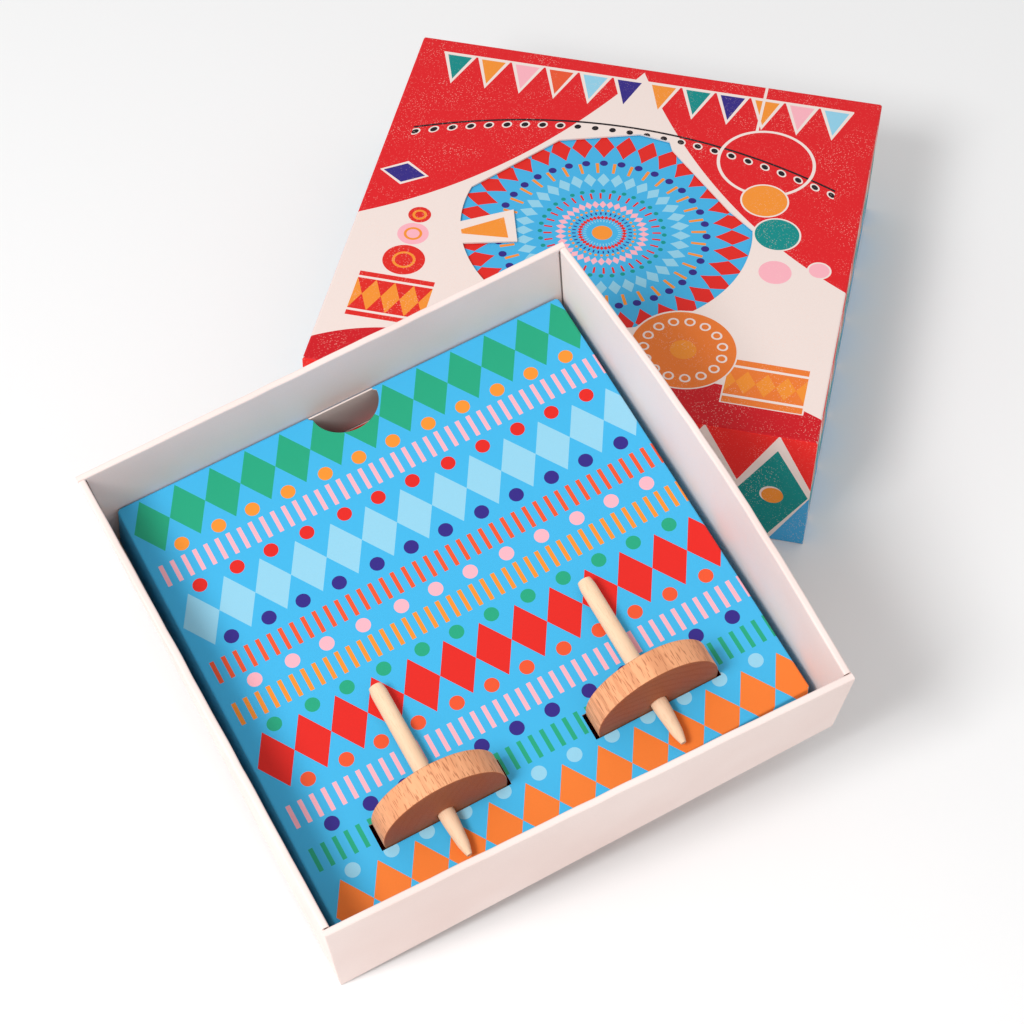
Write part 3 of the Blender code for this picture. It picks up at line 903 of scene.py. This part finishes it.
CREAM, RED, DEEP_RED, TEAL = ink(243, 226, 219), ink(226, 32, 38), ink(208, 26, 36), \
    ink(12, 140, 136)
lid_print = Finish("printed_lid_board", 0.5, blank="blank")
x, y = lid_print.across, lid_print.along
side_mm = lid_side / MM
PEAK, PEAK_HEIGHT, ROOF_FALL, ROOF_SPREAD = 80.2, 162.0, 130.0, 64.6
from_peak = abs(x - PEAK)
roof = (from_peak * (-1 / ROOF_SPREAD)).worked("EXPONENT") * ROOF_FALL
roof = roof + (PEAK_HEIGHT - ROOF_FALL)


def disc_mask(cx, cy, r):
    dx, dy = x - cx, y - cy
    return (dx * dx + dy * dy) < r * r


def ring_mask(cx, cy, r, half):
    dx, dy = x - cx, y - cy
    return abs((dx * dx + dy * dy).worked("SQRT") - r) < half


def box_mask(x0, y0, x1, y1):
    return (x > x0) * (x < x1) * (y > y0) * (y < y1)


def diamond_mask(cx, cy, half_x, half_y):
    return (abs(x - cx) / half_x + abs(y - cy) / half_y) < 1.0


layers = [((y < roof) * (y > 0), CREAM)]


def ball(cx, cy, r, colour):
    """A ball with a thin cream edge."""
    layers.extend([(disc_mask(cx, cy, r), CREAM), (disc_mask(cx, cy, r - 0.6), colour)])


def drum(x0, y0, x1, y1, foot, hoops, half_diamond, colour):
    """A drum with a thin cream edge, two cream hoops, and four amber diamonds between them."""
    layers.append((box_mask(x0 - 0.5, y0 - foot, x1 + 0.5, y1 + 0.5), CREAM))
    layers.append((box_mask(x0, y0, x1, y1), colour))
    diamond_across = abs(repeats(x - x0, (x1 - x0) / 4)[0]) / half_diamond[0]
    diamond_up = abs(y - (hoops[0] + hoops[1]) / 2) / half_diamond[1]
    layers.append((((diamond_across + diamond_up) < 1.0)
                   * box_mask(x0, hoops[0], x1, hoops[1]), AMBER))
    for height in hoops:
        layers.append((box_mask(x0, height - 0.5, x1, height + 0.5), CREAM))


# The ring's floor: two red mounds in front of the tent.
for cx, cy, r in ((34.0, -42.0, 62.0), (128.0, -66.0, 84.0)):
    layers.append((disc_mask(cx, cy, r) * (y > 0), DEEP_RED))

# Bunting: a string of pennants in turn, and a string of small lamps under it.
PENNANTS = (TEAL, AMBER, ROSE, TOMATO, PALE, NAVY, AMBER, TEAL, NAVY, AMBER, ROSE, PALE)
PENNANT_PITCH, PENNANT_START, PENNANT_TOP, PENNANT_DROP = 12.2, 15.0, 157.0, 13.5
for number, colour in enumerate(PENNANTS):
    across = abs(x - (PENNANT_START + number * PENNANT_PITCH))
    drop = (y * -1.0) + PENNANT_TOP
    inside = (across / 4.6 + drop / PENNANT_DROP) < 1.0
    border = (across / 5.9 + drop / (PENNANT_DROP + 2.6)) < 1.0
    below_string = drop > 0.0
    layers.append((border * below_string, CREAM))
    layers.append((inside * (drop > 0.8), colour))
layers.append((box_mask(9.0, PENNANT_TOP - 0.2, 155.0, PENNANT_TOP + 0.6), CREAM))

LAMP_PITCH = 6.0
sag = (x - 81.0) * (x - 81.0) * -0.0031 + 132.0
lamp_x = repeats(x - 81.0, LAMP_PITCH)[0]
lamp_y = y - sag + 2.6
in_string = (x > 8.0) * (x < 154.0)
layers.append(((abs(y - sag) < 0.45) * in_string, ink(30, 24, 30)))
layers.append((((lamp_x * lamp_x + lamp_y * lamp_y) < 1.7 ** 2) * in_string, CREAM))
layers.append((((lamp_x * lamp_x + lamp_y * lamp_y) < 1.15 ** 2) * in_string, ink(30, 24, 30)))

# On the right a hanging hoop with balls falling through it.
layers.append((ring_mask(129.2, 124.3, 16.3, 0.55), CREAM))
layers.append((box_mask(123.1, 140.0, 124.1, 164.0), CREAM))
for cx, cy, r, colour in ((131.5, 105.5, 8.2, AMBER), (138.0, 90.0, 8.0, TEAL),
                          (140.0, 72.0, 6.0, ROSE), (154.0, 76.0, 4.0, ROSE)):
    ball(cx, cy, r, colour)

# In front on the right a drum, and a beaded ball that stands out into the window.
BALL_X, BALL_Y, BALL_RADIUS, BEADS_RADIUS, BEAD_TURN = 116.8, 30.5, 17.4, 12.6, 24.0
drum(132.0, 10.9, 157.5, 30.0, 0.4, (14.0, 27.0), (3.19, 5.0), TANGERINE)
layers.append((disc_mask(BALL_X, BALL_Y, BALL_RADIUS), CREAM))
layers.append((disc_mask(BALL_X, BALL_Y, BALL_RADIUS - 0.5), TANGERINE))
ball_x, ball_y = x - BALL_X, y - BALL_Y
ball_r = (ball_x * ball_x + ball_y * ball_y).worked("SQRT")
ball_swing = repeats(ball_x.worked("ARCTAN2", ball_y) * (180 / math.pi), BEAD_TURN)[0]
bead_x, bead_y = ball_swing * (math.pi / 180 * BEADS_RADIUS), ball_r - BEADS_RADIUS
for bead_radius, colour in ((1.8, CREAM), (1.15, TANGERINE)):
    layers.append(((bead_x * bead_x + bead_y * bead_y) < bead_radius ** 2, colour))
layers.append((ball_r < 4.2, AMBER))

# In front on the left a drum with three balls stacked on it, a loose diamond, and a plain horn
# whose bell stands out into the window.
drum(8.0, 22.0, 33.0, 42.5, 0.5, (24.6, 39.9), (3.12, 7.2), SCARLET)
for cy, r, colour in ((50.6, 7.6, SCARLET), (63.4, 5.8, ROSE), (72.8, 4.4, SCARLET)):
    ball(20.5, cy, r, colour)
    layers.append((ring_mask(20.5, cy, r * 0.45, 0.45), AMBER))
for half_x, half_y, colour in ((8.5, 6.0, CREAM), (7.2, 4.8, NAVY)):
    layers.append((diamond_mask(10.5, 92.0, half_x, half_y), colour))
HORN_X, HORN_Y, HORN_COS, HORN_SIN, HORN_LENGTH, HORN_FLARE = 35.8, 68.0, 0.937, 0.349, 15.0, 0.27
horn_x, horn_y = x - HORN_X, y - HORN_Y
horn_along = horn_x * HORN_COS + horn_y * HORN_SIN
horn_across = abs(horn_y * HORN_COS - horn_x * HORN_SIN)
layers.append((((horn_across - horn_along * HORN_FLARE) < 1.0) * (horn_along > 0)
               * (horn_along < HORN_LENGTH), AMBER))

# Walls: seven cream-edged diamonds on each, red above their middles and blue below.
for along_wall, depth in ((x, y * -1.0), (y, x - side_mm), (x, y - side_mm), (y, x * -1.0)):
    on_wall = depth > 0.0
    spot = repeats(along_wall - side_mm / 2, side_mm / 7)[0]
    wall_x = abs(spot)
    layers.append((on_wall, ink(238, 42, 38)))
    layers.append((on_wall * (depth > 24.0), ink(72, 170, 222)))
    layers.append((on_wall * ((wall_x / 12.6 + abs(depth - 24.0) / 24.6) < 1.0), CREAM))
    layers.append((on_wall * ((wall_x / 11.2 + abs(depth - 25.8) / 19.6) < 1.0), TEAL))
    for shift, r, colour in ((0.45, 3.7, CREAM), (0.0, 3.5, AMBER)):
        dx, dy = spot + shift, depth - 27.0 + shift
        layers.append((on_wall * ((dx * dx + dy * dy) < r * r), colour))

colour = lid_print.printed(RED, layers)
speck_place = lid_print.node("ShaderNodeTexVoronoi", Vector=lid_print.place, Scale=1500.0)
specks = Amount(speck_place.outputs["Distance"])
patches = lid_print.noise(90, 3.0)
speck = (specks < 0.25) * patches.ramp(0.40, 0.66, 0.06, 0.40)
lid_print.inked(lid_print.printed(colour, [(speck, ink(250, 214, 200))]), 0.08)

draft = draft_piece(bm, lid_print.material, plain_board)
lid = finished("printed_lid", thickened(draft, lid_card, edge_material=1),
               Matrix.Translation(lid_corner + Vector((0, 0, lid_height))))
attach(lid, "lid")
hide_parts("lid_top", *[f"lid_wall_{name}" for name in wall_names])
for end in ("front_left", "front_right", "back_left", "back_right"):
    frame["nodes"][f"lid_tab_{end}"].data.materials.clear()
    frame["nodes"][f"lid_tab_{end}"].data.materials.append(plain_board)

# ---------------------------------------------------------------------------------------------
# Table, light and camera. A white table, one large soft light in front and to the left, and an
# even white surround.
# ---------------------------------------------------------------------------------------------
bpy.context.scene.view_settings.view_transform = "Standard"
middle = (cad_low + cad_high) / 2
bm = bmesh.new()
bmesh.ops.create_grid(bm, x_segments=1, y_segments=1, size=4.0)
table_mesh = bpy.data.meshes.new("table")
bm.to_mesh(table_mesh)
bm.free()
table = bpy.data.objects.new("table", table_mesh)
table.location = (0, 0, -0.0002)
bpy.context.collection.objects.link(table)
table_finish = Finish("white_table", 0.8)
table_finish.shader.inputs["Base Color"].default_value = ink(250, 250, 250)
table_mesh.materials.append(table_finish.material)


def soft_light(name, toward, distance, size, power):
    """A square area light that looks back at the middle of the set."""
    light = bpy.data.lights.new(name, "AREA")
    light.size = size
    light.energy = power
    lamp = bpy.data.objects.new(name, light)
    direction = Vector(toward).normalized()
    lamp.location = middle + direction * distance
    lamp.rotation_euler = direction.to_track_quat("Z", "Y").to_euler()
    bpy.context.collection.objects.link(lamp)


soft_light("key_light", (-0.33, -0.65, 0.69), 1.4, 0.45, 12.5)
world = bpy.data.worlds.new("white_surround")
world.use_nodes = True
world.node_tree.nodes["Background"].inputs["Color"].default_value = (1, 1, 1, 1)
world.node_tree.nodes["Background"].inputs["Strength"].default_value = 0.62
bpy.context.scene.world = world

camera_data = bpy.data.cameras.new("camera")
camera_data.sensor_width = 36.0
camera_data.lens = 90.93
camera_data.clip_start = 0.01
camera = bpy.data.objects.new("camera", camera_data)
camera.location = (0.108884, -0.528313, 0.63366)
camera.rotation_euler = [math.radians(angle) for angle in (40.937, -0.662, 12.316)]
bpy.context.collection.objects.link(camera)
bpy.context.scene.camera = camera
